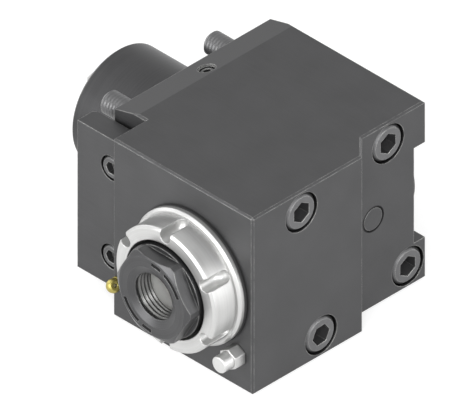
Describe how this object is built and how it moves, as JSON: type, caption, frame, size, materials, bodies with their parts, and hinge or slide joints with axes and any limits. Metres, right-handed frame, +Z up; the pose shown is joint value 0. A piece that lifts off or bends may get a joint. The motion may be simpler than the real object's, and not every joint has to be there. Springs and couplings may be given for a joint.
{
  "type": "live tool holder",
  "caption": "Right-angle driven tool holder: round shank with a drive tang, screwed block, bevel-geared milling spindle with a slotted bearing cap and a hexagonal collet nut.",
  "frame": {"origin": "crossing of the shank's axis and the mounting face", "axes": "-X along the shank away from the block, -Y out of the milling spindle's nose, +Z up"},
  "size_m": [0.1435, 0.1237, 0.082],
  "materials": {
    "housing_steel": "blackened alloy steel, fine ground",
    "nut_steel": "blackened, hardened steel",
    "screw_steel": "black oxide alloy steel",
    "plug_steel": "blackened steel",
    "bright_steel": "fine turned, bright",
    "ground_steel": "ground, hardened",
    "gear_steel": "case hardened, lapped",
    "bearing_steel": "polished bearing steel",
    "spring_steel": "phosphated spring steel",
    "brass": "turned brass",
    "seal_rubber": "nitrile rubber"
  },
  "bodies": {
    "root": {"housing": "housing_steel", "stop_plate": "housing_steel", "stop_plate_shim": "ground_steel", "stop_plate_screws": "screw_steel", "mounting_screws_front": "screw_steel", "mounting_screws_rear": "screw_steel", "shank_sleeve": "housing_steel", "sleeve_lock_screw": "screw_steel", "filler_plug": "plug_steel", "channel_plug": "plug_steel", "coolant_port_ring": "seal_rubber", "nozzle_seat": "brass", "stop_pin": "bright_steel", "front_bearing_outer_rings": "bearing_steel", "rear_bearing_outer_ring": "bearing_steel", "input_bearing_outer_rings": "bearing_steel", "front_outer_spacer": "ground_steel", "input_outer_spacer": "ground_steel", "bearing_cap": "bright_steel", "cap_gasket": "seal_rubber", "spindle_seal": "seal_rubber", "drive_seal": "seal_rubber", "input_circlip": "spring_steel", "rear_cover": "housing_steel", "rear_cover_seal": "seal_rubber"},
    "spindle": {"tool_spindle": "ground_steel", "spindle_gear": "gear_steel", "spindle_gear_key": "ground_steel", "spindle_gear_circlip": "spring_steel", "spindle_lock_nut": "nut_steel", "rear_lock_nut": "nut_steel", "front_bearing_inner_rings": "bearing_steel", "rear_bearing_inner_ring": "bearing_steel", "front_inner_spacer": "ground_steel"},
    "input_shaft": {"drive_shaft": "ground_steel", "drive_gear": "gear_steel", "drive_gear_key": "ground_steel", "drive_gear_circlip": "spring_steel", "drive_lock_nut": "nut_steel", "input_bearing_inner_rings": "bearing_steel", "input_inner_spacer": "ground_steel"},
    "nut_ring": {"nut_thrust_ring": "ground_steel"},
    "nut": {"collet_nut": "nut_steel"},
    "spindle_cages": {"front_bearing_balls": "bearing_steel", "front_bearing_cages": "brass", "rear_bearing_balls": "bearing_steel", "rear_bearing_cage": "brass"},
    "input_cages": {"input_bearing_balls": "bearing_steel", "input_bearing_cages": "brass"},
    "nozzle": {"coolant_ball": "brass"}
  },
  "joints": [
    {"name": "spindle_spin", "type": "hinge", "parent": "root", "child": "spindle", "pos_m": [0.0599, 0, 0], "axis": [0, 1, 0], "continuous": true},
    {"name": "drive_spin", "type": "hinge", "parent": "root", "child": "input_shaft", "pos_m": [0, 0, 0], "axis": [1, 0, 0], "continuous": true},
    {"name": "spindle_cage_spin", "type": "hinge", "parent": "root", "child": "spindle_cages", "pos_m": [0.0599, -0.0375, 0], "axis": [0, 1, 0], "continuous": true},
    {"name": "input_cage_spin", "type": "hinge", "parent": "root", "child": "input_cages", "pos_m": [-0.011, 0, 0], "axis": [1, 0, 0], "continuous": true},
    {"name": "nut_advance", "type": "slide", "parent": "spindle", "child": "nut_ring", "axis": [0, -1, 0], "range_m": [0, 0.0045]},
    {"name": "nut_turn", "type": "hinge", "parent": "nut_ring", "child": "nut", "pos_m": [0.0599, -0.0722, 0], "axis": [0, -1, 0], "range_deg": [0, 1080]},
    {"name": "nozzle_swivel", "type": "hinge", "parent": "root", "child": "nozzle", "pos_m": [0.0195, -0.0616, -0.0246], "axis": [0, 0, 1], "range_deg": [-20, 20]}
  ],
  "couplings": [
    {"joint": "drive_spin", "follows": "spindle_spin", "ratio": -1},
    {"joint": "spindle_cage_spin", "follows": "spindle_spin", "ratio": 0.4325},
    {"joint": "input_cage_spin", "follows": "spindle_spin", "ratio": -0.3742},
    {"joint": "nut_advance", "follows": "nut_turn", "m_per_rad": 0.00023873}
  ]
}
